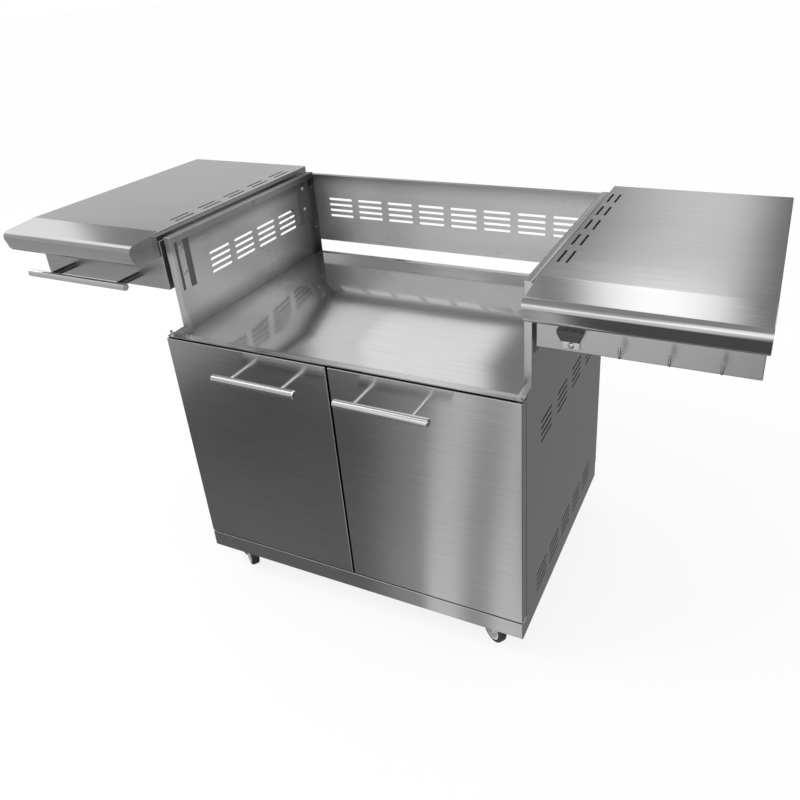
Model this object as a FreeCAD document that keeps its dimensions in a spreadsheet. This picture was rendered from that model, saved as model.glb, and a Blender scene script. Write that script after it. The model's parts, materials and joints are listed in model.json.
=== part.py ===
import FreeCAD, Part
import math
import os
import re
import Sketcher
from FreeCAD import Rotation, Vector

# Grill cart: a sheet-metal cabinet on four swivel casters, with an open bay for a built-in grill head,
# two doors below it and a shelf at each side.
# Pieces are drawn with x to the right, y from the door fronts to the back and z up from the floor.
# Each piece's placement then moves it back, so that the origin lies on the floor under the cart's middle.

# Driving dimensions in millimetres
dimensions = {
    # cabinet
    "cabinet_width": 820,
    "cabinet_depth": 610,
    "metal": 1.2,
    "flange": 16,
    "lip": 15,
    "stile_lip": 10,
    "fit_gap": 0.4,
    "floor_gap": 73,
    "plinth_height": 42,
    # bay
    "bay_height": 209,
    "ledge_depth": 55,
    "tray_drop": 17,
    "tray_skirt": 14,
    "tray_hem": 3,
    "rear_panel_foot": 190,
    "rear_rim": 12,
    "rear_panel_head": 3,
    "rear_panel_drop": 6,
    "rail_front": 4,
    "rail_hem": 9,
    "rail_hem_height": 1,
    # doors
    "door_height": 541,
    "door_thickness": 20,
    "door_seam": 5,
    "door_foot_gap": 3,
    "door_head_gap": 2.8,
    "door_back_gap": 4,
    "liner_depth": 12,
    # hinges
    "hinge_inset": 8,
    "pin_diameter": 6,
    "running_gap": 0.05,
    "pin_reach": 12,
    "pin_collar": 9,
    "pin_collar_height": 1.5,
    "left_pin_proud": 11,
    "right_pin_proud": 4,
    "bush_diameter": 10,
    "bush_flange": 14,
    "bush_flange_height": 1.6,
    # door handles
    "handle_length": 204,
    "handle_diameter": 18,
    "handle_standoff": 53,
    "handle_from_seam": 147,
    "handle_below_top": 42,
    "handle_chamfer": 1.5,
    "post_spacing": 126,
    "post_diameter": 8,
    # door catches
    "catch_width": 42,
    "catch_depth": 16,
    "catch_height": 14,
    "catch_from_seam": 40,
    "catch_gap": 0.6,
    "strike_thickness": 1,
    # vents
    "vent_width": 6.5,
    "vent_length": 71,
    "vent_row_pitch": 15.2,
    "vent_rows": 4,
    "rear_vent_groups": 8,
    "rear_vent_pitch": 90,
    "rear_vent_below_rim": 71,
    "bay_vent_pitch": 90.5,
    "bay_vent_start": 181,
    "bay_vent_strap_gap": 15,
    "bay_vent_below_rim": 81,
    "side_vent_width": 5,
    "side_vent_rear_gap": 45,
    "upper_vent_pitch": 112,
    "upper_vent_start": 113,
    "upper_vent_below_ledge": 112,
    "lower_vent_pitch": 93.5,
    "lower_vent_start": 92,
    "lower_vent_above_plinth": 56,
    # shelves
    "shelf_gap": 10,
    "shelf_length": 375,
    "shelf_rise": 13,
    "shelf_back": 618,
    "shelf_skirt": 20,
    "slope_start": 54,
    "slope_drop": 9,
    "nose_reach": 38,
    "nose_height": 55,
    "nose_undercut": 14,
    "nose_top_radius": 14,
    "nose_bottom_radius": 18,
    "fascia_front": 50,
    "fascia_height": 113,
    "fascia_depth": 25,
    "fascia_overhang": 1,
    "fascia_short": 5,
    "shelf_vent_length": 61,
    "shelf_vent_width": 5,
    "shelf_vent_groups": 5,
    "shelf_vent_pitch": 92,
    "shelf_vent_start": 123,
    "shelf_vent_inset": 13,
    "shelf_vent_spacing": 16,
    # shelf brackets
    "bracket_metal": 2,
    "bracket_front_inset": 41.5,
    "bracket_rear_inset": 36,
    "bracket_plate_width": 58,
    "bracket_plate_height": 132,
    "arm_width": 25,
    "arm_height": 40,
    "arm_short": 16,
    "gusset_length": 110,
    "strap_width": 18,
    "strap_slot_width": 18,
    "strap_slot_height": 122,
    "strap_slot_below_rim": 11,
    "screw_spacing": 56,
    "screw_below_rim": 38,
    # screws
    "screw_diameter": 4,
    "screw_head": 9,
    "screw_head_height": 2.6,
    "screw_length": 10,
    # rail on the left fascia
    "rail_length": 291,
    "rail_diameter": 16,
    "rail_standoff": 60,
    "rail_from_outer_end": 22,
    "rail_below_nose": 55,
    "rail_post_outer_inset": 73,
    "rail_post_inner_inset": 20,
    "rail_post_diameter": 13,
    "rail_post_rise": 4,
    # hooks and cap opener on the right fascia
    "hook_count": 3,
    "hook_first": 149,
    "hook_spacing": 80.5,
    "hook_wire": 5,
    "hook_reach": 16,
    "hook_bend": 6,
    "hook_rise": 12,
    "hook_above_edge": 12,
    "opener_from_inner_end": 62,
    "opener_top_width": 46,
    "opener_tab_width": 31,
    "opener_height": 40,
    "opener_tab_height": 14,
    "opener_shoulder": 6,
    "opener_plate": 3,
    "opener_reach": 15,
    "opener_wall": 5,
    "opener_cheek": 10,
    "opener_lip": 4,
    "opener_above_edge": 6,
    "opener_screw_height": 7,
    # casters
    "caster_side_inset": 76,
    "caster_inset": 39,
    "caster_turn": 37,
    "caster_trail": 9,
    "caster_plate_size": 64,
    "caster_plate_thickness": 2.5,
    "caster_bolt_spacing": 46,
    "caster_bolt_diameter": 6,
    "caster_bolt_head": 11,
    "caster_bolt_head_height": 4,
    "race_diameter": 44,
    "race_height": 6.5,
    "race_gap": 0.5,
    "fork_crown": 46,
    "fork_crown_height": 5,
    "fork_metal": 2.5,
    "fork_foot": 22,
    "fork_shoulder": 38,
    "kingpin_diameter": 10,
    "kingpin_head": 16,
    "kingpin_head_height": 3,
    "wheel_diameter": 80,
    "tyre_width": 20,
    "tyre_wall": 8,
    "tyre_round": 5,
    "hub_width": 23,
    "hub_boss": 20,
    "hub_rim": 4,
    "hub_web": 5,
    "hub_window": 9,
    "hub_windows": 5,
    "axle_diameter": 8,
    "axle_head": 13,
    "axle_head_height": 3,
    "wheel_side_gap": 1.5,
}

# Places that follow from the driving dimensions
derived = {
    "half_width": "cabinet_width / 2",
    "caster_x": "half_width - caster_side_inset",
    "plinth_top": "floor_gap + plinth_height",
    "floor_under": "plinth_top - metal",
    "door_bottom": "plinth_top + door_foot_gap",
    "door_top": "door_bottom + door_height",
    "ledge_top": "door_top + door_head_gap + metal",
    "rim_top": "ledge_top + bay_height",
    "tray_top": "ledge_top - tray_drop",
    "shelf_top": "rim_top + shelf_rise",
    "cabinet_front": "door_thickness + door_back_gap",
    "inner_face": "half_width - metal",
    "lip_face": "half_width - flange",
    "bay_front": "ledge_depth",
    "hinge_x": "half_width - hinge_inset",
    "hinge_y": "door_thickness / 2",
    "pin_hole": "pin_diameter + 2 * running_gap",
    "door_inner_edge": "door_seam / 2",
    "handle_z": "door_top - handle_below_top",
    "shelf_inner": "half_width + shelf_gap",
    "shelf_outer": "shelf_inner + shelf_length",
    "skirt_bottom": "shelf_top - shelf_skirt",
    "nose_bottom": "shelf_top - nose_height",
    "fascia_top": "skirt_bottom - fit_gap",
    "fascia_bottom": "fascia_top - fascia_height",
    "bracket_front": "bay_front + bracket_front_inset",
    "bracket_rear": "cabinet_depth - bracket_rear_inset",
    "arm_top": "skirt_bottom",
    "strap_slot_top": "rim_top - strap_slot_below_rim",
    # the side panels have as many vent groups as their depth holds
    "bay_vent_end": "bracket_rear - strap_width / 2 - strap_slot_width - bay_vent_strap_gap",
    "side_vent_end": "cabinet_depth - side_vent_rear_gap",
    "bay_vent_groups": "floor((bay_vent_end - bay_vent_start - vent_length) / bay_vent_pitch) + 1",
    "upper_vent_groups": "floor((side_vent_end - upper_vent_start - vent_length) / upper_vent_pitch) + 1",
    "lower_vent_groups": "floor((side_vent_end - lower_vent_start - vent_length) / lower_vent_pitch) + 1",
    "rail_z": "nose_bottom - rail_below_nose",
    "rail_y": "fascia_front - rail_standoff",
    "opener_bottom": "fascia_bottom + opener_above_edge",
    "opener_x": "shelf_inner + opener_from_inner_end",
    "wheel_radius": "wheel_diameter / 2",
    "plate_under": "floor_under - caster_plate_thickness",
    "race_under": "plate_under - race_height",
    "crown_top": "race_under - race_gap",
    "crown_under": "crown_top - fork_crown_height",
    "leg_inside": "hub_width / 2 + wheel_side_gap",
    "front_reach": "handle_standoff + handle_diameter / 2",
    # the cart's box runs from the handle bars to the shelves' back edges
    "front_y": "(front_reach - shelf_back) / 2",
}

doc = FreeCAD.newDocument("grill_cart")
sheet = doc.addObject("Spreadsheet::Sheet", "dims")
for row, (alias, number) in enumerate(dimensions.items(), start=1):
    sheet.set(f"A{row}", alias)
    sheet.set(f"B{row}", str(number))
    sheet.setAlias(f"B{row}", alias)
doc.recompute()

pieces = []
least_cut = 0.01
same_place = 1e-4


# Formulas

def formula(text):
    # spell a formula out in the sheet's aliases
    def spell(match):
        word = match.group(0)
        if word in derived:
            return f"({formula(derived[word])})"
        return f"dims.{word}" if word in dimensions else word
    return re.sub(r"[a-z_]+", spell, str(text))


def value(text):
    return float(sheet.evalExpression(formula(text)))


def bind(item, **settings):
    for setting, text in settings.items():
        item.setExpression(setting, formula(text))


def place(item, x="0", y="0", z="0"):
    for axis, text in (("x", x), ("y", y), ("z", z)):
        item.setExpression(f"Placement.Base.{axis}", formula(text))


def keep(item, label):
    # a finished piece: its label names its file
    item.Label = label
    pieces.append(item)
    return item


# Sketch-based pieces

def newBody(label):
    body = doc.addObject("PartDesign::Body", label)
    place(body, y="front_y")
    return body


def newSketch(body, plane, offset="0"):
    # offset is the sketch plane's place along its axis; the XZ plane faces -y
    sketch = body.newObject("Sketcher::SketchObject", f"{body.Name}_sketch")
    support = [item for item in body.Origin.OriginFeatures if item.Role == f"{plane}_Plane"][0]
    sketch.AttachmentSupport = (support, [""])
    sketch.MapMode = "FlatFace"
    sign = "-" if plane == "XZ" else ""
    sketch.setExpression("AttachmentOffset.Base.z", formula(f"{sign}({offset})"))
    return sketch


def pin(sketch, geometry, point, x, y):
    for kind, text in (("DistanceX", x), ("DistanceY", y)):
        number = sketch.addConstraint(Sketcher.Constraint(kind, -1, 1, geometry, point, value(text)))
        sketch.setExpression(f"Constraints[{number}]", formula(text))


def drawOutline(sketch, corners):
    first = sketch.GeometryCount
    spots = [Vector(value(x), value(y), 0) for x, y in corners]
    for start, end in zip(spots, spots[1:] + spots[:1]):
        sketch.addGeometry(Part.LineSegment(start, end))
    for number, (x, y) in enumerate(corners):
        following = first + (number + 1) % len(corners)
        sketch.addConstraint(Sketcher.Constraint("Coincident", first + number, 2, following, 1))
        pin(sketch, first + number, 1, x, y)


def drawRectangle(sketch, low, high):
    drawOutline(sketch, [low, (high[0], low[1]), high, (low[0], high[1])])


def drawCircle(sketch, x, y, diameter):
    circle = Part.Circle(Vector(value(x), value(y), 0), Vector(0, 0, 1), value(diameter) / 2)
    geometry = sketch.addGeometry(circle)
    pin(sketch, geometry, 3, x, y)
    number = sketch.addConstraint(Sketcher.Constraint("Diameter", geometry, value(diameter)))
    sketch.setExpression(f"Constraints[{number}]", formula(diameter))


def drawSlot(sketch, start, y, length, width):
    # a slot along the sketch's x axis, from its rounded start
    left = (f"{start} + {width} / 2", y)
    right = (f"{start} + {length} - {width} / 2", y)
    radius = value(width) / 2
    centres = [Vector(value(x), value(y), 0) for x, y in (left, right)]
    up = Vector(0, radius, 0)
    quarter = math.pi / 2
    first = sketch.GeometryCount
    for centre, begin in zip(centres, (quarter, -quarter)):
        circle = Part.Circle(centre, Vector(0, 0, 1), radius)
        sketch.addGeometry(Part.ArcOfCircle(circle, begin, begin + math.pi))
    sketch.addGeometry(Part.LineSegment(centres[0] + up, centres[1] + up))
    sketch.addGeometry(Part.LineSegment(centres[0] - up, centres[1] - up))
    arcs = (first, first + 1)
    top, bottom = first + 2, first + 3
    joins = [
        (arcs[0], 1, top, 1),
        (arcs[0], 2, bottom, 1),
        (arcs[1], 1, bottom, 2),
        (arcs[1], 2, top, 2),
    ]
    for join in joins:
        sketch.addConstraint(Sketcher.Constraint("Tangent", *join))
    sketch.addConstraint(Sketcher.Constraint("Equal", *arcs))
    pin(sketch, arcs[0], 3, *left)
    pin(sketch, arcs[1], 3, *right)
    number = sketch.addConstraint(Sketcher.Constraint("Radius", arcs[0], radius))
    sketch.setExpression(f"Constraints[{number}]", formula(f"{width} / 2"))


def pad(body, sketch, length, reverse=False, symmetric=False):
    feature = body.newObject("PartDesign::Pad", f"{body.Name}_pad")
    feature.Profile = sketch
    feature.Reversed = reverse
    feature.SideType = "Symmetric" if symmetric else "One side"
    bind(feature, Length=length)
    doc.recompute()
    return feature


def pocket(body, sketch, length=None, reverse=False):
    # without a length it cuts through everything on both sides
    before = body.Shape.Volume
    feature = body.newObject("PartDesign::Pocket", f"{body.Name}_pocket")
    feature.Profile = sketch
    feature.Reversed = reverse
    if length is None:
        feature.Type = "ThroughAll"
        feature.SideType = "Symmetric"
    else:
        bind(feature, Length=length)
    doc.recompute()
    if before - body.Shape.Volume < least_cut:
        raise ValueError(f"{body.Name}: a pocket cuts nothing")
    return feature


def isNear(number, wanted):
    return abs(number - wanted) < same_place


def isAlong(direction, axis):
    return isNear(abs(getattr(direction, axis)), 1)


def facesAt(feature, axis, place_text):
    # names of the flat faces square to an axis at a place along it
    wanted = value(place_text)
    names = []
    for number, face in enumerate(feature.Shape.Faces, start=1):
        flat = isinstance(face.Surface, Part.Plane) and isAlong(face.Surface.Axis, axis)
        if flat and isNear(getattr(face.CenterOfMass, axis), wanted):
            names.append(f"Face{number}")
    return names


def edgesAlong(feature, axis, spots):
    # names of the straight edges along an axis through the given places
    names = []
    others = [letter for letter in "xyz" if letter != axis]
    for number, edge in enumerate(feature.Shape.Edges, start=1):
        middle = edge.CenterOfMass
        straight = isinstance(edge.Curve, Part.Line) and isAlong(edge.Curve.Direction, axis)
        near = [spot for spot in spots
                if all(isNear(getattr(middle, other), value(text)) for other, text in zip(others, spot))]
        if straight and near:
            names.append(f"Edge{number}")
    return names


def roundRims(feature, radius):
    # names of the circular edges of a given radius
    wanted = value(radius)
    return [f"Edge{number}" for number, edge in enumerate(feature.Shape.Edges, start=1)
            if isinstance(edge.Curve, Part.Circle) and isNear(edge.Curve.Radius, wanted)]


def shell(body, feature, faces, wall="metal"):
    # hollow the solid inwards, open at the named faces
    hollow = body.newObject("PartDesign::Thickness", f"{body.Name}_shell")
    hollow.Base = (feature, faces)
    hollow.Reversed = True
    hollow.Join = "Intersection"
    bind(hollow, Value=wall)
    doc.recompute()
    return hollow


def dress(body, feature, kind, edges, size):
    trim = body.newObject(f"PartDesign::{kind}", f"{body.Name}_{kind.lower()}")
    trim.Base = (feature, edges)
    bind(trim, **{"Radius" if kind == "Fillet" else "Size": size})
    doc.recompute()
    return trim


def repeat(body, feature, axis, pitch, count):
    # repeat a cut along an axis of its own sketch
    pattern = body.newObject("PartDesign::LinearPattern", f"{body.Name}_pattern")
    pattern.Originals = [feature]
    pattern.Direction = (feature.Profile[0], [axis])
    pattern.Mode = "Spacing"
    bind(pattern, Offset=pitch, Occurrences=count)
    body.Tip = pattern
    doc.recompute()
    return pattern


def cutVents(body, plane, offset, start, top, width, groups, pitch):
    # groups of level slots, one row above the other
    sketch = newSketch(body, plane, offset)
    for row in range(dimensions["vent_rows"]):
        drawSlot(sketch, start, f"{top} - {row} * vent_row_pitch", "vent_length", width)
    repeat(body, pocket(body, sketch), "H_Axis", pitch, groups)


# Pieces made of primitives

def box(low, size):
    item = doc.addObject("Part::Box", "box")
    bind(item, Length=size[0], Width=size[1], Height=size[2])
    place(item, *low)
    return item


turns = {"z": Rotation(), "x": Rotation(Vector(0, 1, 0), 90), "y": Rotation(Vector(1, 0, 0), -90)}


def cylinder(start, axis, diameter, length):
    # a round bar from its start, in the axis's own direction
    item = doc.addObject("Part::Cylinder", "cylinder")
    bind(item, Radius=f"({diameter}) / 2", Height=length)
    item.Placement = FreeCAD.Placement(Vector(), turns[axis])
    place(item, *start)
    return item


def fuse(items):
    item = doc.addObject("Part::MultiFuse", "fuse")
    item.Shapes = items
    return item


def cut(base, tool):
    item = doc.addObject("Part::Cut", "cut")
    item.Base = base
    item.Tool = tool
    return item


def group(items):
    item = doc.addObject("Part::Compound", "group")
    item.Links = items
    return item


def settle(item, label):
    # a piece of primitives, moved back with the rest of the cart
    place(item, y="front_y")
    return keep(item, label)


def mirror(item, label):
    # the same piece on the other side of the cart
    twin = doc.addObject("Part::Mirroring", label)
    twin.Source = item
    twin.Normal = Vector(1, 0, 0)
    return keep(twin, label)


# Cabinet

caster_spots = {
    "front_left": ("-caster_x", "caster_inset"),
    "front_right": ("caster_x", "caster_inset"),
    "rear_left": ("-caster_x", "cabinet_depth - caster_inset"),
    "rear_right": ("caster_x", "cabinet_depth - caster_inset"),
}
both = (-1, 1)


def boltSpots(x, y):
    return [(f"{x} + {sx} * caster_bolt_spacing / 2", f"{y} + {sy} * caster_bolt_spacing / 2")
            for sx in both for sy in both]


def makeBasePan():
    body = newBody("base_pan")
    sketch = newSketch(body, "XY", "floor_gap")
    drawRectangle(sketch, ("-half_width", "0"), ("half_width", "cabinet_depth"))
    block = pad(body, sketch, "plinth_height")
    shell(body, block, facesAt(block, "z", "floor_gap"))
    holes = newSketch(body, "XY", "plinth_top")
    for side in both:
        drawCircle(holes, f"{side} * hinge_x", "hinge_y", "pin_hole")
    for x, y in caster_spots.values():
        for bolt_x, bolt_y in boltSpots(x, y):
            drawCircle(holes, bolt_x, bolt_y, "caster_bolt_diameter")
    pocket(body, holes, "metal * 2")
    return keep(body, "base_pan")


# heights of the rear screws as shares of their panel's own height
rear_screw_shares = (0.2, 0.8)


def rearScrews(low, high):
    return [f"{low} + {share} * ({high} - ({low}))" for share in rear_screw_shares]


rear_bands = {
    "rear_upper_panel": ("rim_top - rear_panel_foot", "rim_top - rear_panel_head"),
    "rear_lower_panel": ("plinth_top + fit_gap", "tray_top - rear_panel_drop"),
}
rear_screw_x = "half_width - flange / 2"
shelf_screw_heights = ("rim_top - screw_below_rim", "rim_top - screw_below_rim - screw_spacing")


def makeSidePanel():
    # right side panel: a pan whose turned-in edges are the rim, the front flange, the ledge and the feet
    body = newBody("right_side_panel")
    sketch = newSketch(body, "YZ", "lip_face")
    drawOutline(sketch, [
        ("cabinet_front", "plinth_top"),
        ("cabinet_depth", "plinth_top"),
        ("cabinet_depth", "rim_top"),
        ("bay_front", "rim_top"),
        ("bay_front", "ledge_top"),
        ("cabinet_front", "ledge_top"),
    ])
    block = pad(body, sketch, "flange")
    shell(body, block, facesAt(block, "x", "lip_face"))
    # lips turned back from the rim, the front flange and the ledge
    lips = newSketch(body, "YZ", "lip_face")
    drawOutline(lips, [
        ("cabinet_front", "ledge_top"),
        ("cabinet_front", "tray_top + fit_gap"),
        ("bay_front + stile_lip", "tray_top + fit_gap"),
        ("bay_front + stile_lip", "rim_top - lip"),
        ("cabinet_depth", "rim_top - lip"),
        ("cabinet_depth", "rim_top"),
        ("bay_front", "rim_top"),
        ("bay_front", "ledge_top"),
    ])
    pad(body, lips, "metal")
    cutVents(body, "YZ", "half_width", "bay_vent_start", "rim_top - bay_vent_below_rim", "vent_width",
             "bay_vent_groups", "bay_vent_pitch")
    cutVents(body, "YZ", "half_width", "upper_vent_start", "ledge_top - upper_vent_below_ledge",
             "side_vent_width", "upper_vent_groups", "upper_vent_pitch")
    cutVents(body, "YZ", "half_width", "lower_vent_start", "plinth_top + lower_vent_above_plinth",
             "side_vent_width", "lower_vent_groups", "lower_vent_pitch")
    slots = newSketch(body, "YZ", "half_width")
    for centre in ("bracket_front", "bracket_rear"):
        for side in both:
            near = f"{centre} + {side} * strap_width / 2"
            far = f"{near} + {side} * strap_slot_width"
            drawRectangle(slots, (near, "strap_slot_top - strap_slot_height"), (far, "strap_slot_top"))
        for height in shelf_screw_heights:
            drawCircle(slots, centre, height, "screw_diameter")
    pocket(body, slots, "metal * 2")
    screws = newSketch(body, "XZ", "cabinet_depth")
    for low, high in rear_bands.values():
        for height in rearScrews(low, high):
            drawCircle(screws, rear_screw_x, height, "screw_diameter")
    pocket(body, screws, "metal * 2", reverse=True)
    return keep(body, "right_side_panel")


def makeRearPanel(label):
    low, high = rear_bands[label]
    body = newBody(label)
    sketch = newSketch(body, "XZ", "cabinet_depth")
    drawRectangle(sketch, ("-half_width", low), ("half_width", high))
    pad(body, sketch, "metal", reverse=True)
    if label == "rear_upper_panel":
        rim = newSketch(body, "XZ", "cabinet_depth")
        drawRectangle(rim, ("-(lip_face - fit_gap)", f"{high} - metal"), ("lip_face - fit_gap", high))
        pad(body, rim, "rear_rim")
        first = "-((rear_vent_groups - 1) * rear_vent_pitch + vent_length) / 2"
        cutVents(body, "XZ", "cabinet_depth", first, "rim_top - rear_vent_below_rim", "vent_width",
                 "rear_vent_groups", "rear_vent_pitch")
    holes = newSketch(body, "XZ", "cabinet_depth")
    for side in both:
        for height in rearScrews(low, high):
            drawCircle(holes, f"{side} * ({rear_screw_x})", height, "screw_diameter")
    pocket(body, holes)
    return keep(body, label)


def makeTray():
    body = newBody("bay_tray")
    front = "cabinet_front + metal + fit_gap"
    back = "cabinet_depth - metal - fit_gap"
    side = "inner_face"
    sketch = newSketch(body, "XY", "tray_top - tray_skirt")
    drawRectangle(sketch, (f"-({side})", front), (side, back))
    block = pad(body, sketch, "tray_skirt")
    shell(body, block, facesAt(block, "z", "tray_top - tray_skirt"))
    hem = newSketch(body, "XY", "tray_top")
    drawRectangle(hem, ("-(lip_face - fit_gap)", f"{back} - metal"), ("lip_face - fit_gap", back))
    pad(body, hem, "tray_hem")
    return keep(body, "bay_tray")


def makeFrontRail():
    # the flat strip above the doors, with a web down to the tray
    body = newBody("front_rail")
    back = "cabinet_front"
    strip = newSketch(body, "XY", "ledge_top")
    drawRectangle(strip, ("-half_width", "rail_front"), ("half_width", back))
    pad(body, strip, "metal", reverse=True)
    hem = newSketch(body, "XY", "ledge_top")
    drawRectangle(hem, ("-(lip_face - fit_gap)", "rail_front"),
                  ("lip_face - fit_gap", "rail_front + rail_hem"))
    pad(body, hem, "rail_hem_height")
    web = newSketch(body, "XY", "ledge_top")
    drawRectangle(web, ("-(lip_face - fit_gap)", f"{back} - metal"), ("lip_face - fit_gap", back))
    pad(body, web, "tray_drop", reverse=True)
    holes = newSketch(body, "XY", "ledge_top")
    for side in both:
        drawCircle(holes, f"{side} * hinge_x", "hinge_y", "pin_hole")
    pocket(body, holes, "metal * 2")
    return keep(body, "front_rail")


# Doors: the right one is drawn, the left one is its twin

door_x = "handle_from_seam"


def postSpots():
    return [f"{door_x} + {side} * post_spacing / 2" for side in both]


def makeDoorSkin():
    body = newBody("right_door_skin")
    sketch = newSketch(body, "XZ")
    drawRectangle(sketch, ("door_inner_edge", "door_bottom"), ("half_width", "door_top"))
    block = pad(body, sketch, "door_thickness", reverse=True)
    shell(body, block, facesAt(block, "y", "door_thickness"))
    bores = newSketch(body, "XY")
    drawCircle(bores, "hinge_x", "hinge_y", "bush_diameter")
    pocket(body, bores)
    holes = newSketch(body, "XZ")
    for x in postSpots():
        drawCircle(holes, x, "handle_z", "screw_diameter")
    pocket(body, holes, "metal * 2")
    return keep(body, "right_door_skin")


def makeDoorLiner():
    body = newBody("right_door_liner")
    inset = "(metal + fit_gap)"
    front = "door_thickness - liner_depth"
    sketch = newSketch(body, "XZ", front)
    low = (f"door_inner_edge + {inset}", f"door_bottom + {inset}")
    high = (f"half_width - {inset}", f"door_top - {inset}")
    drawRectangle(sketch, low, high)
    block = pad(body, sketch, "liner_depth", reverse=True)
    shell(body, block, facesAt(block, "y", front))
    # room for the hinge bushes in the outer corners
    corners = newSketch(body, "XY")
    reach = "hinge_x - bush_flange / 2"
    drawRectangle(corners, (reach, "0"), ("half_width", "hinge_y + bush_flange / 2"))
    pocket(body, corners)
    return keep(body, "right_door_liner")


def makeBushes():
    bushes = []
    for seat, inward in (("door_top", -1), ("door_bottom", 1)):
        sleeve_end = f"{seat} + {inward} * pin_reach"
        low = sleeve_end if inward < 0 else seat
        flange_low = seat if inward < 0 else f"{seat} - bush_flange_height"
        sleeve = cylinder(("hinge_x", "hinge_y", low), "z", "bush_diameter", "pin_reach")
        flange = cylinder(("hinge_x", "hinge_y", flange_low), "z", "bush_flange", "bush_flange_height")
        start = f"{low} - bush_flange_height"
        bore = cylinder(("hinge_x", "hinge_y", start), "z", "pin_hole", "pin_reach + 2 * bush_flange_height")
        bushes.append(cut(fuse([sleeve, flange]), bore))
    return settle(group(bushes), "right_door_bushes")


def makeHandlePosts():
    posts = []
    for x in postSpots():
        post = cylinder((x, "-handle_standoff", "handle_z"), "y", "post_diameter", "handle_standoff")
        hole = cylinder((x, "-screw_length", "handle_z"), "y", "screw_diameter", "screw_length")
        posts.append(cut(post, hole))
    return settle(group(posts), "right_handle_posts")


def makeHandleBar():
    body = newBody("right_handle_bar")
    sketch = newSketch(body, "YZ", f"{door_x} - handle_length / 2")
    drawCircle(sketch, "-handle_standoff", "handle_z", "handle_diameter")
    bar = pad(body, sketch, "handle_length")
    dress(body, bar, "Chamfer", roundRims(bar, "handle_diameter / 2"), "handle_chamfer")
    # seats for the posts, as deep as the bar's axis
    seats = newSketch(body, "XZ", "-handle_standoff")
    for x in postSpots():
        drawCircle(seats, x, "handle_z", "post_diameter")
    pocket(body, seats, "handle_diameter")
    return keep(body, "right_handle_bar")


def makeScrew(spot, axis, length="screw_length"):
    # a pan-head screw: its shank starts at the spot and runs the axis's way, its head sits behind
    x, y, z = spot
    back = {"x": (f"{x} - screw_head_height", y, z), "y": (x, f"{y} - screw_head_height", z)}[axis]
    shank = cylinder(spot, axis, "screw_diameter", length)
    head = cylinder(back, axis, "screw_head", "screw_head_height")
    return fuse([shank, head])


def turnedScrew(spot, length="screw_length"):
    # the same screw driven towards the front
    x, y, z = spot
    shank = cylinder((x, f"{y} - {length}", z), "y", "screw_diameter", length)
    head = cylinder(spot, "y", "screw_head", "screw_head_height")
    return fuse([shank, head])


def makeHandleScrews():
    screws = [turnedScrew((x, "metal", "handle_z"), "screw_length") for x in postSpots()]
    return settle(group(screws), "right_handle_screws")


def makeStrike():
    low = ("catch_from_seam - catch_width / 2", "door_thickness", "tray_top - tray_skirt - catch_height")
    plate = box(low, ("catch_width", "strike_thickness", "catch_height"))
    return settle(group([plate]), "right_catch_strike")


def makeCatches():
    catches = []
    for side in both:
        x = f"{side} * catch_from_seam - catch_width / 2"
        y = "door_thickness + strike_thickness + catch_gap"
        low = (x, y, "tray_top - tray_skirt - catch_height")
        catches.append(box(low, ("catch_width", "catch_depth", "catch_height")))
    return settle(group(catches), "magnet_catches")


def makeHingePins():
    pins = []
    for side, proud in ((-1, "left_pin_proud"), (1, "right_pin_proud")):
        x = f"{side} * hinge_x"
        upper = cylinder((x, "hinge_y", "door_top - pin_reach"), "z", "pin_diameter",
                         f"ledge_top + {proud} - (door_top - pin_reach)")
        collar = cylinder((x, "hinge_y", "ledge_top"), "z", "pin_collar", "pin_collar_height")
        pins.append(fuse([upper, collar]))
        foot = "floor_under - pin_collar_height"
        lower = cylinder((x, "hinge_y", foot), "z", "pin_diameter", f"door_bottom + pin_reach - ({foot})")
        head = cylinder((x, "hinge_y", foot), "z", "pin_collar", "pin_collar_height")
        pins.append(fuse([lower, head]))
    return settle(group(pins), "hinge_pins")


# Shelves: the right one is drawn, the left one is its twin

def makeShelfTop():
    body = newBody("right_shelf_top")
    sketch = newSketch(body, "YZ", "shelf_inner")
    nose_top = ("-nose_reach", "shelf_top - slope_drop")
    nose_foot = ("-(nose_reach - nose_undercut)", "nose_bottom")
    drawOutline(sketch, [
        ("shelf_back", "shelf_top"),
        ("slope_start", "shelf_top"),
        nose_top,
        nose_foot,
        ("fascia_front", "nose_bottom"),
        ("fascia_front", "skirt_bottom"),
        ("shelf_back", "skirt_bottom"),
    ])
    block = pad(body, sketch, "shelf_length")
    top_round = dress(body, block, "Fillet", edgesAlong(block, "x", [nose_top]), "nose_top_radius")
    nose = dress(body, top_round, "Fillet", edgesAlong(top_round, "x", [nose_foot]), "nose_bottom_radius")
    shell(body, nose, facesAt(nose, "z", "skirt_bottom") + facesAt(nose, "y", "fascia_front"))
    for row in (0, 1):
        vents = newSketch(body, "XY", "shelf_top")
        x = f"shelf_inner + shelf_vent_inset + {row} * shelf_vent_spacing"
        half = "shelf_vent_width / 2"
        drawRectangle(vents, (f"{x} - {half}", "shelf_vent_start"),
                      (f"{x} + {half}", "shelf_vent_start + shelf_vent_length"))
        repeat(body, pocket(body, vents, "metal * 2"), "V_Axis", "shelf_vent_pitch", "shelf_vent_groups")
    return keep(body, "right_shelf_top")


def makeFascia():
    body = newBody("right_shelf_fascia")
    sketch = newSketch(body, "XZ", "fascia_front")
    drawRectangle(sketch, ("shelf_inner - fascia_overhang", "fascia_bottom"),
                  ("shelf_outer - fascia_short", "fascia_top"))
    block = pad(body, sketch, "fascia_depth", reverse=True)
    shell(body, block, facesAt(block, "y", "fascia_front + fascia_depth"))
    return keep(body, "right_shelf_fascia")


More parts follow.
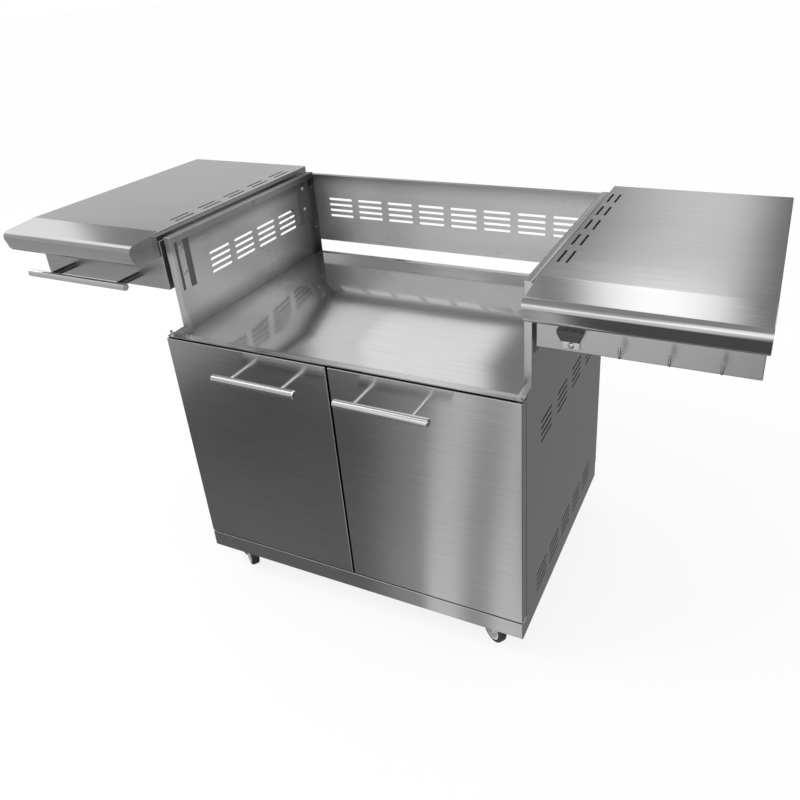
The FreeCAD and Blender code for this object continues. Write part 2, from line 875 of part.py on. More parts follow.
def makeBracket(centre):
    # a plate on the cabinet's side, a channel arm under the shelf and a gusset between them
    body = newBody("bracket")
    plate_foot = "strap_slot_top - bracket_plate_height"
    plate = newSketch(body, "YZ", "half_width")
    half = "bracket_plate_width / 2"
    drawRectangle(plate, (f"{centre} - {half}", plate_foot), (f"{centre} + {half}", "strap_slot_top"))
    pad(body, plate, "bracket_metal")
    arm = newSketch(body, "YZ", "half_width")
    outer = "arm_width / 2"
    inner = f"({outer} - bracket_metal)"
    drawOutline(arm, [
        (f"{centre} - {outer}", "arm_top - arm_height"),
        (f"{centre} - {outer}", "arm_top"),
        (f"{centre} + {outer}", "arm_top"),
        (f"{centre} + {outer}", "arm_top - arm_height"),
        (f"{centre} + {inner}", "arm_top - arm_height"),
        (f"{centre} + {inner}", "arm_top - bracket_metal"),
        (f"{centre} - {inner}", "arm_top - bracket_metal"),
        (f"{centre} - {inner}", "arm_top - arm_height"),
    ])
    pad(body, arm, "shelf_outer - arm_short - half_width")
    gusset = newSketch(body, "XZ", centre)
    drawOutline(gusset, [
        ("half_width", plate_foot),
        ("half_width", "arm_top"),
        ("half_width + gusset_length", "arm_top"),
        ("half_width + gusset_length", "arm_top - arm_height"),
    ])
    pad(body, gusset, "bracket_metal", symmetric=True)
    holes = newSketch(body, "YZ", "half_width")
    for height in shelf_screw_heights:
        drawCircle(holes, centre, height, "screw_diameter")
    pocket(body, holes, "screw_length", reverse=True)
    return body


def makeBrackets():
    brackets = [makeBracket("bracket_front"), makeBracket("bracket_rear")]
    return keep(group(brackets), "right_shelf_brackets")


def makeShelfScrews():
    screws = []
    for centre in ("bracket_front", "bracket_rear"):
        for height in shelf_screw_heights:
            screws.append(makeScrew(("inner_face", centre, height), "x"))
    return settle(group(screws), "right_shelf_screws")


def makeRearScrews():
    screws = []
    for low, high in rear_bands.values():
        for side in both:
            for height in rearScrews(low, high):
                spot = (f"{side} * ({rear_screw_x})", "cabinet_depth + metal", height)
                screws.append(turnedScrew(spot))
    return settle(group(screws), "rear_panel_screws")


# Rail on the left fascia

rail_start = "-(shelf_outer - rail_from_outer_end)"


def makeRailPosts():
    posts = []
    height = "rail_z + rail_post_rise"
    for along in ("rail_post_outer_inset", "rail_length - rail_post_inner_inset"):
        x = f"{rail_start} + {along}"
        posts.append(cylinder((x, "rail_y", height), "y", "rail_post_diameter", "rail_standoff"))
    return settle(group(posts), "towel_rail_posts")


def makeTowelRail(posts):
    bar = cylinder((rail_start, "rail_y", "rail_z"), "x", "rail_diameter", "rail_length")
    return settle(cut(bar, group(posts.Links)), "towel_rail")


# Hooks and cap opener on the right fascia

def makeHook(x):
    foot = "fascia_bottom + hook_above_edge"
    bend_y = "fascia_front - hook_reach"
    stem = cylinder((x, bend_y, foot), "y", "hook_wire", "hook_reach")
    bend = doc.addObject("Part::Torus", "bend")
    bind(bend, Radius1="hook_bend", Radius2="hook_wire / 2")
    bend.Angle3 = 90
    # the ring's own x axis points forward and its own y axis down
    turn = Rotation(Vector(0, -1, 0), Vector(0, 0, -1), Vector(1, 0, 0), "XYZ")
    bend.Placement = FreeCAD.Placement(Vector(), turn)
    place(bend, x, bend_y, f"{foot} + hook_bend")
    tip_y = f"{bend_y} - hook_bend"
    tip_z = f"{foot} + hook_bend"
    tip = cylinder((x, tip_y, tip_z), "z", "hook_wire", "hook_rise")
    end = doc.addObject("Part::Sphere", "hook_end")
    bind(end, Radius="hook_wire / 2")
    place(end, x, tip_y, f"{tip_z} + hook_rise")
    return fuse([stem, bend, tip, end])


def makeHooks():
    hooks = [makeHook(f"shelf_inner + hook_first + {number} * hook_spacing")
             for number in range(dimensions["hook_count"])]
    return settle(group(hooks), "tool_hooks")


def drawShield(sketch, half):
    # an outline alike on both sides of the opener's middle
    right = [(f"opener_x + {across}", z) for across, z in half]
    left = [(f"opener_x - {across}", z) for across, z in reversed(half)]
    drawOutline(sketch, right + left)


def makeOpener():
    # a tapered plate with a raised hood whose lower lip lifts the cap
    body = newBody("cap_opener")
    hood_foot = "opener_bottom + opener_tab_height"
    top = "opener_bottom + opener_height"
    plate = newSketch(body, "XZ", "fascia_front")
    shield = [
        ("opener_tab_width / 2", "opener_bottom"),
        ("opener_tab_width / 2", hood_foot),
        ("opener_top_width / 2", f"{top} - opener_shoulder"),
        ("opener_top_width / 2", top),
    ]
    drawShield(plate, shield)
    pad(body, plate, "opener_plate")
    hood = newSketch(body, "XZ", "fascia_front")
    drawShield(hood, shield[1:])
    pad(body, hood, "opener_reach")
    # the cap goes in from below, behind the lip
    mouth = newSketch(body, "YZ", "opener_x")
    drawRectangle(mouth, ("fascia_front - opener_reach + opener_lip", hood_foot),
                  ("fascia_front - opener_plate", f"{top} - opener_wall"))
    slit = body.newObject("PartDesign::Pocket", "mouth_pocket")
    slit.Profile = mouth
    slit.SideType = "Symmetric"
    bind(slit, Length="opener_top_width - 2 * opener_cheek")
    doc.recompute()
    screw = newSketch(body, "XZ", "fascia_front")
    drawCircle(screw, "opener_x", "opener_bottom + opener_screw_height", "screw_diameter")
    pocket(body, screw)
    return keep(body, "cap_opener")


def makeOpenerScrew():
    spot = ("opener_x", "fascia_front - opener_plate", "opener_bottom + opener_screw_height")
    return settle(makeScrew(spot, "y", "opener_plate"), "opener_screw")


# Casters, drawn about the swivel axis with the wheel rolling along x

def newCasterBody(label, x, y):
    body = doc.addObject("PartDesign::Body", label)
    setCaster(body, x, y)
    return body


def setCaster(item, x, y):
    item.Placement = FreeCAD.Placement(Vector(), Rotation(Vector(0, 0, 1), -dimensions["caster_turn"]))
    bind(item, **{"Placement.Rotation.Angle": "-caster_turn"})
    place(item, x, f"{y} + front_y")


def makeCasterPlate(corner, x, y):
    size = "caster_plate_size"
    thickness = "caster_plate_thickness"
    plate = box((f"{x} - {size} / 2", f"{y} - {size} / 2", "plate_under"), (size, size, thickness))
    race = cylinder((x, y, "race_under"), "z", "race_diameter", "race_height")
    holes = [cylinder((bolt_x, bolt_y, "plate_under"), "z", "caster_bolt_diameter", thickness)
             for bolt_x, bolt_y in boltSpots(x, y)]
    return settle(cut(fuse([plate, race]), group(holes)), f"{corner}_caster_plate")


def makeKingpins():
    pins = []
    for x, y in caster_spots.values():
        foot = "crown_under - race_gap - kingpin_head_height"
        shank = cylinder((x, y, foot), "z", "kingpin_diameter", f"race_under - ({foot})")
        head = cylinder((x, y, foot), "z", "kingpin_head", "kingpin_head_height")
        pins.append(fuse([shank, head]))
    return settle(group(pins), "caster_kingpins")


def makeCasterBolts():
    # driven up from below, flush with the base pan's top
    bolts = []
    head_under = "plate_under - caster_bolt_head_height"
    reach = "plinth_top - plate_under"
    for x, y in caster_spots.values():
        for bolt_x, bolt_y in boltSpots(x, y):
            shank = cylinder((bolt_x, bolt_y, "plate_under"), "z", "caster_bolt_diameter", reach)
            head = doc.addObject("Part::Prism", "bolt_head")
            head.Polygon = 6
            bind(head, Circumradius="caster_bolt_head / 2", Height="caster_bolt_head_height")
            place(head, bolt_x, bolt_y, head_under)
            bolts.append(fuse([shank, head]))
    return settle(group(bolts), "caster_bolts")


def makeFork(corner, x, y):
    body = newCasterBody(f"{corner}_fork", x, y)
    crown = newSketch(body, "XY", "crown_under")
    drawCircle(crown, "0", "0", "fork_crown")
    pad(body, crown, "fork_crown_height")
    axle_x, axle_z = "-caster_trail", "wheel_radius"
    for side in both:
        near = f"{side} * leg_inside"
        legs = newSketch(body, "XZ", near)
        drawOutline(legs, [
            ("-fork_shoulder / 2", "crown_top"),
            ("fork_shoulder / 2", "crown_top"),
            (f"{axle_x} + fork_foot / 2", axle_z),
            (f"{axle_x} - fork_foot / 2", axle_z),
        ])
        pad(body, legs, "fork_metal", reverse=side > 0)
        foot = newSketch(body, "XZ", near)
        drawCircle(foot, axle_x, axle_z, "fork_foot")
        pad(body, foot, "fork_metal", reverse=side > 0)
    bore = newSketch(body, "XY", "crown_top")
    drawCircle(bore, "0", "0", "kingpin_diameter + 2 * running_gap")
    pocket(body, bore, "fork_crown_height + race_gap")
    holes = newSketch(body, "XZ")
    drawCircle(holes, axle_x, axle_z, "axle_diameter")
    pocket(body, holes)
    return keep(body, f"{corner}_fork")


def makeAxle(corner, x, y):
    outside = "(leg_inside + fork_metal)"
    start = ("-caster_trail", f"-{outside}", "wheel_radius")
    shaft = cylinder(start, "y", "axle_diameter", f"2 * {outside}")
    heads = [cylinder(("-caster_trail", y_start, "wheel_radius"), "y", "axle_head", "axle_head_height")
             for y_start in (outside, f"-{outside} - axle_head_height")]
    axle = fuse([shaft, *heads])
    setCaster(axle, x, y)
    return keep(axle, f"{corner}_axle")


def wheelSketch(body, half_section):
    # half of a wheel's section, drawn from the axle line outwards and revolved about it
    sketch = newSketch(body, "YZ", "-caster_trail")
    drawOutline(sketch, [(across, f"wheel_radius + {out}") for across, out in half_section])
    return sketch


def revolve(body, sketch):
    turn = body.newObject("PartDesign::Revolution", f"{body.Name}_turn")
    turn.Profile = sketch
    axis = newSketch(body, "YZ", "-caster_trail")
    ends = [Vector(value(across), value("wheel_radius"), 0) for across in ("-hub_width", "hub_width")]
    line = axis.addGeometry(Part.LineSegment(*ends))
    pin(axis, line, 1, "-hub_width", "wheel_radius")
    pin(axis, line, 2, "hub_width", "wheel_radius")
    turn.ReferenceAxis = (axis, ["Edge1"])
    turn.Angle = 360
    doc.recompute()
    return turn


def makeHub(corner, x, y):
    body = newCasterBody(f"{corner}_hub", x, y)
    bore = "axle_diameter / 2 + running_gap"
    rim_out = "wheel_radius - tyre_wall"
    rim_in = f"{rim_out} - hub_rim"
    rim_half = "tyre_width / 2 - fit_gap"
    sketch = wheelSketch(body, [
        ("-hub_width / 2", bore),
        ("-hub_width / 2", "hub_boss / 2"),
        ("-hub_web / 2", "hub_boss / 2"),
        ("-hub_web / 2", rim_in),
        (f"-({rim_half})", rim_in),
        (f"-({rim_half})", rim_out),
        (rim_half, rim_out),
        (rim_half, rim_in),
        ("hub_web / 2", rim_in),
        ("hub_web / 2", "hub_boss / 2"),
        ("hub_width / 2", "hub_boss / 2"),
        ("hub_width / 2", bore),
    ])
    revolve(body, sketch)
    windows = newSketch(body, "XZ")
    for number in range(dimensions["hub_windows"]):
        ring = f"(hub_boss / 2 + {rim_in}) / 2"
        angle = f"{number} * 360 deg / hub_windows"
        across = f"-caster_trail + {ring} * sin({angle})"
        drawCircle(windows, across, f"wheel_radius + {ring} * cos({angle})", "hub_window")
    pocket(body, windows)
    return keep(body, f"{corner}_hub")


def makeTyre(corner, x, y):
    body = newCasterBody(f"{corner}_tyre", x, y)
    inner = "wheel_radius - tyre_wall"
    half = "tyre_width / 2"
    sketch = wheelSketch(body, [
        (f"-{half}", inner),
        (f"-{half}", "wheel_radius"),
        (half, "wheel_radius"),
        (half, inner),
    ])
    ring = revolve(body, sketch)
    dress(body, ring, "Fillet", roundRims(ring, "wheel_radius"), "tyre_round")
    return keep(body, f"{corner}_tyre")


# The whole cart

makeBasePan()
mirror(makeSidePanel(), "left_side_panel")
for panel in rear_bands:
    makeRearPanel(panel)
makeTray()
makeFrontRail()
makeRearScrews()
makeHingePins()
makeCatches()
door_makers = (makeDoorSkin, makeDoorLiner, makeBushes, makeStrike)
handle_makers = (makeHandlePosts, makeHandleBar, makeHandleScrews)
shelf_makers = (makeShelfTop, makeFascia, makeBrackets, makeShelfScrews)
for make in door_makers + handle_makers + shelf_makers:
    right = make()
    mirror(right, right.Label.replace("right", "left"))
makeTowelRail(makeRailPosts())
makeHooks()
makeOpener()
makeOpenerScrew()
makeKingpins()
makeCasterBolts()
for corner, (x, y) in caster_spots.items():
    for make in (makeCasterPlate, makeFork, makeAxle, makeHub, makeTyre):
        make(corner, x, y)
doc.recompute()

# Nothing is written unless every object is sound
for item in doc.Objects:
    if "Invalid" in item.State or "Error" in item.State:
        raise ValueError(f"{item.Label}: {item.State}")
for item in pieces:
    if item.Shape.isNull() or not item.Shape.isValid():
        raise ValueError(f"{item.Label}: bad shape")

os.makedirs("parts", exist_ok=True)
for item in pieces:
    item.Shape.exportStep(f"parts/{item.Label}.step")
print(len(pieces), "pieces")
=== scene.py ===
import json
import math

import bmesh
import bpy
from mathutils import Matrix, Vector
from mathutils.bvhtree import BVHTree


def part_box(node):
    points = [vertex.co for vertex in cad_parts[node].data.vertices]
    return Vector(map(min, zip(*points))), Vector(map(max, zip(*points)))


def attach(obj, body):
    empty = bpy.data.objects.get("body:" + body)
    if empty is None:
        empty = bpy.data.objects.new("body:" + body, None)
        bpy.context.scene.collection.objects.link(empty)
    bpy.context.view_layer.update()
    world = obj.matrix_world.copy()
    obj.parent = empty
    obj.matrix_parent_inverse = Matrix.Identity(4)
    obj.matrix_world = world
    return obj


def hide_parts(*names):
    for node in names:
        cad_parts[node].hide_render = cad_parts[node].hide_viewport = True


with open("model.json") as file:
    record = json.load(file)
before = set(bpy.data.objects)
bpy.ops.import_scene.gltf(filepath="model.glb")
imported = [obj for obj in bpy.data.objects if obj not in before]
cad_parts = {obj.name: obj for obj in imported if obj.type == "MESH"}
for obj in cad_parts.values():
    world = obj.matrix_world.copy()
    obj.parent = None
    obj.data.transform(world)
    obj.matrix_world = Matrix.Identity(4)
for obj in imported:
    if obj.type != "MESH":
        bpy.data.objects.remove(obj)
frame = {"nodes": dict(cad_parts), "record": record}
nodes = frame["nodes"]
bodyOf = {node: body for body, names in frame["record"]["behaviour"]["bodies"].items() for node in names}
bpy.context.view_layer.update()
print("frame:", len(nodes), "CAD nodes")

scene = bpy.context.scene
scene.view_settings.view_transform = "Standard"
sides = ("left", "right")
corners = ("front_left", "front_right", "rear_left", "rear_right")


# a socket that can stand in a sum: each operator adds its Math node
class Wire:
    def __init__(self, graph, socket):
        self.graph = graph
        self.socket = socket

    def math(self, operation, first, second=0.0):
        return self.graph.node("ShaderNodeMath", {"operation": operation}, {0: first, 1: second})

    def __add__(self, other):
        return self.math("ADD", self, other)

    def __sub__(self, other):
        return self.math("SUBTRACT", self, other)

    def __rsub__(self, other):
        return self.math("SUBTRACT", other, self)

    def __mul__(self, other):
        return self.math("MULTIPLY", self, other)

    def __truediv__(self, other):
        return self.math("DIVIDE", self, other)

    def __rtruediv__(self, other):
        return self.math("DIVIDE", other, self)

    __radd__ = __add__
    __rmul__ = __mul__

    def above(self, start, end):
        # 0 at the start and before it, 1 from the end on, smooth between; either may be the higher one
        settings = {"interpolation_type": "SMOOTHSTEP"}
        sockets = {"Value": self, "From Min": start, "From Max": end}
        return self.graph.node("ShaderNodeMapRange", settings, sockets)

    def within(self, rise, fall):
        # 1 between two soft edges, 0 outside them
        return self.above(*rise) - self.above(*fall)


class Graph:
    def __init__(self, tree):
        self.tree = tree
        tree.nodes.clear()

    # settings are set first, then the sockets get their values or links
    def node(self, kind, settings=None, sockets=None, output=0):
        made = self.tree.nodes.new(kind)
        for name, setting in (settings or {}).items():
            setattr(made, name, setting)
        for name, given in (sockets or {}).items():
            wires = given if isinstance(given, list) else [given]
            if isinstance(wires[0], Wire):
                for wire in wires:
                    self.tree.links.new(wire.socket, made.inputs[name])
            else:
                made.inputs[name].default_value = given
        return Wire(self, made.outputs[output]) if made.outputs else made

    def noise(self, place, scale, detail=2.0, roughness=0.5):
        sockets = {"Vector": place, "Scale": scale, "Detail": detail, "Roughness": roughness}
        return self.node("ShaderNodeTexNoise", {}, sockets, "Fac")

    def stretch(self, place, scale):
        return self.node("ShaderNodeMapping", {}, {"Vector": place, "Scale": scale})

    def blend(self, share, dark, light):
        # colours by a share from 0 to 1
        sockets = {"Factor": share, 6: (*dark, 1), 7: (*light, 1)}
        return self.node("ShaderNodeMix", {"data_type": "RGBA"}, sockets, 2)

    def bump(self, height, distance, normal=None):
        sockets = {"Height": height, "Distance": distance, "Strength": 1.0}
        if normal:
            sockets["Normal"] = normal
        return self.node("ShaderNodeBump", {}, sockets)


def newMaterial(name):
    material = bpy.data.materials.new(name)
    material.use_nodes = True
    return material, Graph(material.node_tree)


def finishMaterial(graph, sockets):
    surface = graph.node("ShaderNodeBsdfPrincipled", {}, sockets)
    graph.node("ShaderNodeOutputMaterial", {}, {"Surface": surface})


def grey(level):
    return (level, level, level)


def fade(first, second, share):
    # from the first value to the second as the share goes from 0 to 1
    return first * (1 - share) + second * share


def axes(graph, place):
    split = graph.node("ShaderNodeSeparateXYZ", {}, {"Vector": place})
    return [Wire(graph, socket) for socket in split.socket.node.outputs]


# a slope that sets in over a short length and then runs on: the height of a bent sheet
def bentHeight(place, start, length):
    inBend = place.math("MINIMUM", place.math("MAXIMUM", place - start, 0.0), length)
    onward = place.math("MAXIMUM", place - start - length, 0.0)
    return inBend * inBend / (2 * length) + onward


# how a wide thin sheet buckles between two soft bends across its depth
def sagHeight(graph, spot, sag):
    y = axes(graph, spot)[1]
    return (bentHeight(y, *sag["upBend"]) - bentHeight(y, *sag["levelBend"])) * sag["slope"]


# painted shade that darkens a metal's colour along an axis; each band is its axis, an unshaded place, a
# shaded place and the share of colour taken away
def paintedShadeShare(graph, spot, paintedShade, onSide):
    places = dict(zip("xyz", axes(graph, spot)))
    share = 1.0
    for axis, unshaded, shaded, loss in paintedShade:
        share = share * (1 - places[axis].above(unshaded, shaded) * loss * onSide)
    return share


# 1 on the side of a sheet that looks into the grill bay, 0 on its other side
def bayShare(graph, spot, axis, outside, inside):
    place = axes(graph, spot)["xyz".index(axis)]
    return place.above(outside, inside)


# Brushed sheet: long scratches along the grain, faint clouds from handling, a slight ripple of the metal
def brushedSheet(name, look):
    material, graph = newMaterial(name)
    spot = graph.node("ShaderNodeTexCoord", {}, {}, "Object")
    scales = [look["grainAcross"]] * 3
    scales["xyz".index(look["grainAxis"])] = look["grainAlong"]
    finer = [look["hairFiner"] * scale for scale in scales]
    grain = graph.noise(graph.stretch(spot, scales), 1.0, detail=3.0, roughness=0.65)
    hair = graph.noise(graph.stretch(spot, finer), 1.0, detail=2.0, roughness=0.6)
    cloud = graph.noise(spot, look["cloudScale"], detail=4.0, roughness=0.55)
    ripple = graph.noise(spot, look["rippleScale"], detail=1.0, roughness=0.4)
    roughness = look["roughness"] + (grain - 0.5) * look["grainRough"] + (cloud - 0.5) * look["cloudRough"]
    shade = graph.blend(fade(cloud, grain, look["grainShade"]), look["dark"], look["light"])
    metallic = look["metallic"]
    # the side that looks into the bay is less metallic, and its colour takes the painted shade listed for
    # it
    if "bay" in look:  # the side that looks into the bay is duller
        inBay = bayShare(graph, spot, *look["bay"])
        shadeFactor = paintedShadeShare(graph, spot, look["paintedShade"], inBay)
        shade = graph.node("ShaderNodeVectorMath", {"operation": "SCALE"}, {0: shade, "Scale": shadeFactor})
        metallic = 1 - inBay * (1 - metallic)
    normal = graph.bump(grain, look["grainDepth"])
    normal = graph.bump(hair, look["hairDepth"], normal)
    normal = graph.bump(ripple, look["rippleDepth"], normal)
    if "sag" in look:
        normal = graph.bump(sagHeight(graph, spot, look["sag"]), 1.0, normal)
    finishMaterial(graph, {
        "Base Color": shade, "Metallic": metallic, "Roughness": roughness, "Normal": normal,
        "Anisotropic": look["anisotropy"], "Anisotropic Rotation": look["anisotropyTurn"],
    })
    return material


sheetLook = {
    "grainAxis": "x", "grainAlong": 6.0, "grainAcross": 420.0, "grainRough": 0.06, "grainDepth": 0.000006,
    "grainShade": 0.7, "hairFiner": 5.0, "hairDepth": 0.000002, "cloudScale": 5.0, "cloudRough": 0.05,
    "rippleScale": 3.0, "rippleDepth": 0.0006, "metallic": 1.0, "roughness": 0.19,
    "anisotropy": 0.0, "anisotropyTurn": 0.25, "dark": grey(0.47), "light": grey(0.67),
}
doorSteel = brushedSheet("doorSteel", {**sheetLook, "anisotropy": 0.85})
sideSteel = brushedSheet("sideSteel", {
    **sheetLook, "grainAxis": "y", "roughness": 0.23, "anisotropy": 0.6,
})
# inside the grill bay the sheets face each other, and their finer grain scatters more light
bayLook = {
    **sheetLook, "grainAcross": 900.0, "grainRough": 0.02, "grainDepth": 0.0000002, "hairDepth": 0.0000002,
    "metallic": 0.7, "roughness": 0.28, "anisotropy": 0.5, "dark": grey(0.61), "light": grey(0.65),
}
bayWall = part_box("left_side_panel")[0][0]
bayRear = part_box("rear_upper_panel")[1][1]
baySkin = (0.0002, 0.0010)  # depths in the sheet where the outer finish ends and the bay's is whole
# painted shade on the rear panel's bay side: darker towards its left end and towards its top under the rim
bayRearSteel = brushedSheet("bayRearSteel", {
    **bayLook, "bay": ("y", *[bayRear - depth for depth in baySkin]),
    "paintedShade": [("x", -0.22, -0.42, 0.45), ("z", 0.82, 0.87, 0.35)],
})
# painted shade on the side panel's bay side: darker towards the rear, low down near the tray and at the top
# under the rim lip
baySideSteel = brushedSheet("baySideSteel", {
    **bayLook, "grainAxis": "y", "bay": ("x", *[bayWall + depth for depth in baySkin]),
    "paintedShade": [("y", 0.1, 0.33, 0.75), ("z", 0.70, 0.645, 0.6), ("z", 0.82, 0.85, 0.4)],
})
shelfSteel = brushedSheet("shelfSteel", {
    **sheetLook, "grainAcross": 700.0, "roughness": 0.16, "dark": grey(0.44), "light": grey(0.68),
})
# a bend is where it starts and how long it is
traySteel = brushedSheet("traySteel", {
    **sheetLook, "grainDepth": 0.000003, "metallic": 0.92, "roughness": 0.1,
    "sag": {"upBend": (-0.14, 0.22), "levelBend": (0.085, 0.04), "slope": 0.115},
})
linerSteel = brushedSheet("linerSteel", {
    **sheetLook, "roughness": 0.36, "dark": grey(0.42), "light": grey(0.54),
})
barSteel = brushedSheet("barSteel", {
    **sheetLook, "roughness": 0.14, "dark": grey(0.74), "light": grey(0.9),
})
fasciaSteel = brushedSheet("fasciaSteel", {**sheetLook, "roughness": 0.36})


# Zinc-plated steel: small crystals and a slightly blue white
def zincPlate(name, look):
    material, graph = newMaterial(name)
    spot = graph.node("ShaderNodeTexCoord", {}, {}, "Object")
    cells = {"Vector": spot, "Scale": look["crystalScale"]}
    crystal = graph.node("ShaderNodeTexVoronoi", {}, cells, "Distance")
    cloud = graph.noise(spot, look["cloudScale"], detail=3.0)
    shade = graph.blend(fade(crystal, cloud, look["cloudShade"]), look["dark"], look["light"])
    # where a look lists painted shade, the colour is darkened along an axis
    if "paintedShade" in look:
        shadeFactor = paintedShadeShare(graph, spot, look["paintedShade"], 1.0)
        shade = graph.node("ShaderNodeVectorMath", {"operation": "SCALE"}, {0: shade, "Scale": shadeFactor})
    roughness = look["roughness"] + (cloud - 0.5) * look["cloudRough"]
    finishMaterial(graph, {
        "Base Color": shade, "Metallic": 1.0, "Roughness": roughness,
        "Normal": graph.bump(crystal, look["crystalDepth"]),
    })
    return material


zincLook = {
    "crystalScale": 900.0, "crystalDepth": 0.00004, "cloudScale": 120.0, "cloudShade": 0.5,
    "cloudRough": 0.15, "roughness": 0.28, "dark": (0.50, 0.51, 0.53), "light": (0.72, 0.72, 0.73),
}
zinc = zincPlate("zincPlate", zincLook)
castDark = zincPlate("castDark", {
    **zincLook, "crystalScale": 500.0, "roughness": 0.4, "dark": grey(0.10), "light": grey(0.22),
})
# the cap opener's foot keeps its zinc colour, and its hood above is painted dark as shade and a dark
# reflection
openerFoot = {"height": 0.014, "soft": 0.004, "loss": 0.86}
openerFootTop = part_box("cap_opener")[0][2] + openerFoot["height"]
openerCast = zincPlate("openerCast", {
    **zincLook, "dark": grey(0.6), "light": grey(0.8),
    "paintedShade": [("z", openerFootTop, openerFootTop + openerFoot["soft"], openerFoot["loss"])],
})


# Powder coat, rubber and moulded plastic: a fine skin over a plain colour, dusty where it is rough
def mouldedSkin(name, look):
    material, graph = newMaterial(name)
    spot = graph.node("ShaderNodeTexCoord", {}, {}, "Object")
    skin = graph.noise(spot, look["skinScale"], detail=2.0, roughness=0.6)
    cloud = graph.noise(spot, look["cloudScale"], detail=4.0, roughness=0.6)
    shade = graph.blend(cloud, look["dark"], look["light"])
    roughness = look["roughness"] + (cloud - 0.5) * look["cloudRough"]
    finishMaterial(graph, {
        "Base Color": shade, "Roughness": roughness, "Normal": graph.bump(skin, look["skinDepth"]),
    })
    return material


powderLook = {
    "skinScale": 900.0, "skinDepth": 0.00008, "cloudScale": 30.0, "cloudRough": 0.2, "roughness": 0.5,
    "dark": grey(0.08), "light": grey(0.13),
}
powderDark = mouldedSkin("powderDark", powderLook)
blackPlastic = mouldedSkin("blackPlastic", {
    **powderLook, "skinScale": 1400.0, "skinDepth": 0.00005, "cloudScale": 40.0, "roughness": 0.45,
    "dark": grey(0.02), "light": grey(0.045),
})
hubPlastic = mouldedSkin("hubPlastic", {
    **powderLook, "skinScale": 1200.0, "skinDepth": 0.00004, "cloudScale": 60.0, "roughness": 0.38,
    "dark": grey(0.60), "light": grey(0.74),
})
tyreRubber = mouldedSkin("tyreRubber", {
    **powderLook, "skinScale": 700.0, "skinDepth": 0.00012, "cloudScale": 50.0, "roughness": 0.62,
    "dark": grey(0.012), "light": grey(0.035),
})
print("materials:", len(bpy.data.materials))


# Which finish each CAD node takes
finishes = {
    "front_rail": doorSteel, "base_pan": doorSteel, "bay_tray": traySteel,
    "rear_upper_panel": bayRearSteel, "rear_lower_panel": doorSteel,
    "rear_panel_screws": zinc, "hinge_pins": zinc, "magnet_catches": blackPlastic,
    "towel_rail": barSteel, "towel_rail_posts": castDark, "tool_hooks": zinc,
    "cap_opener": openerCast, "opener_screw": zinc, "caster_kingpins": zinc, "caster_bolts": zinc,
}
for side in sides:
    finishes.update({
        f"{side}_side_panel": sideSteel, f"{side}_door_skin": doorSteel,
        f"{side}_door_liner": linerSteel, f"{side}_door_bushes": blackPlastic,
        f"{side}_handle_posts": barSteel, f"{side}_handle_bar": barSteel,
        f"{side}_handle_screws": zinc, f"{side}_catch_strike": zinc,
        f"{side}_shelf_top": shelfSteel, f"{side}_shelf_fascia": fasciaSteel,
        f"{side}_shelf_brackets": powderDark, f"{side}_shelf_screws": zinc,
    })
for corner in corners:
    finishes.update({
        f"{corner}_caster_plate": zinc, f"{corner}_fork": zinc, f"{corner}_axle": zinc,
        f"{corner}_hub": hubPlastic, f"{corner}_tyre": tyreRubber,
    })
finishes["left_side_panel"] = baySideSteel  # the one whose inner face is in view
for name, material in finishes.items():
    nodes[name].data.materials.clear()
    nodes[name].data.materials.append(material)
print("finishes:", len(finishes), "nodes")


# Folded sheets get round bends, as a press brake leaves them; lengths in metres, angles in degrees
fold = {
    "radius": 0.0016, "notchedRadius": 0.0011, "steps": 3, "least": 4.0, "sharp": 35.0, "flat": 0.5,
    "room": 0.0085, "shortest": 0.0138, "skin": 0.0004, "touch": 0.00002, "sliver": 0.000002,
    "level": 0.99,  # a cosine
}
roomChecks = (0.02, 0.1, 0.3, 0.5, 0.7, 0.9, 0.98)  # shares of a bend's length


# whether the sheet goes on flat, far enough from a bend, on one side of it
def hasRoom(surface, edge, face):
    start, end = [vert.co for vert in edge.verts]
    inward = face.normal.cross(end - start).normalized()
    if inward.dot(face.calc_center_median() - start) < 0:
        inward.negate()
    clear = 0
    for share in roomChecks:
        spot = start.lerp(end, share) + inward * fold["room"] + face.normal * fold["skin"]
        place, normal = surface.ray_cast(spot, -face.normal, 2 * fold["skin"])[:2]
        clear += bool(place) and normal.dot(face.normal) > fold["level"]
    return clear * 2 > len(roomChecks)


# outward corners between two wide flats; cut edges and the facets of rounds are too narrow to count
def findBends(mesh):
    surface = BVHTree.FromBMesh(mesh)
    bends = []
    for edge in mesh.edges:
        if len(edge.link_faces) < 2 or edge.calc_length() < fold["shortest"]:
            continue
        if edge.calc_face_angle_signed() < math.radians(fold["least"]):
            continue
        if all(hasRoom(surface, edge, face) for face in edge.link_faces):
            bends.append(edge)
    return bends


def applyModifiers(piece):
    shown = piece.evaluated_get(bpy.context.evaluated_depsgraph_get())
    data = bpy.data.meshes.new_from_object(shown)
    piece.modifiers.clear()
    piece.data = data


# shading by the size of the faces, so that large flat faces stay flat
def weighNormals(piece):
    weigh = piece.modifiers.new("weigh", "WEIGHTED_NORMAL")
    weigh.keep_sharp = True


def newPiece(name, data, material):
    data.materials.clear()
    data.materials.append(material)
    piece = bpy.data.objects.new(name, data)
    scene.collection.objects.link(piece)
    return piece


# the piece stands for its CAD node: the node is hidden, and the piece moves with that node's body
def standFor(piece, *names):
    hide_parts(*names)
    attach(piece, bodyOf[names[0]])


# a node's own mesh with its meeting corners joined
def weldedMesh(name):
    mesh = bmesh.new()
    mesh.from_mesh(nodes[name].data)
    bmesh.ops.remove_doubles(mesh, verts=mesh.verts, dist=fold["touch"])
    return mesh


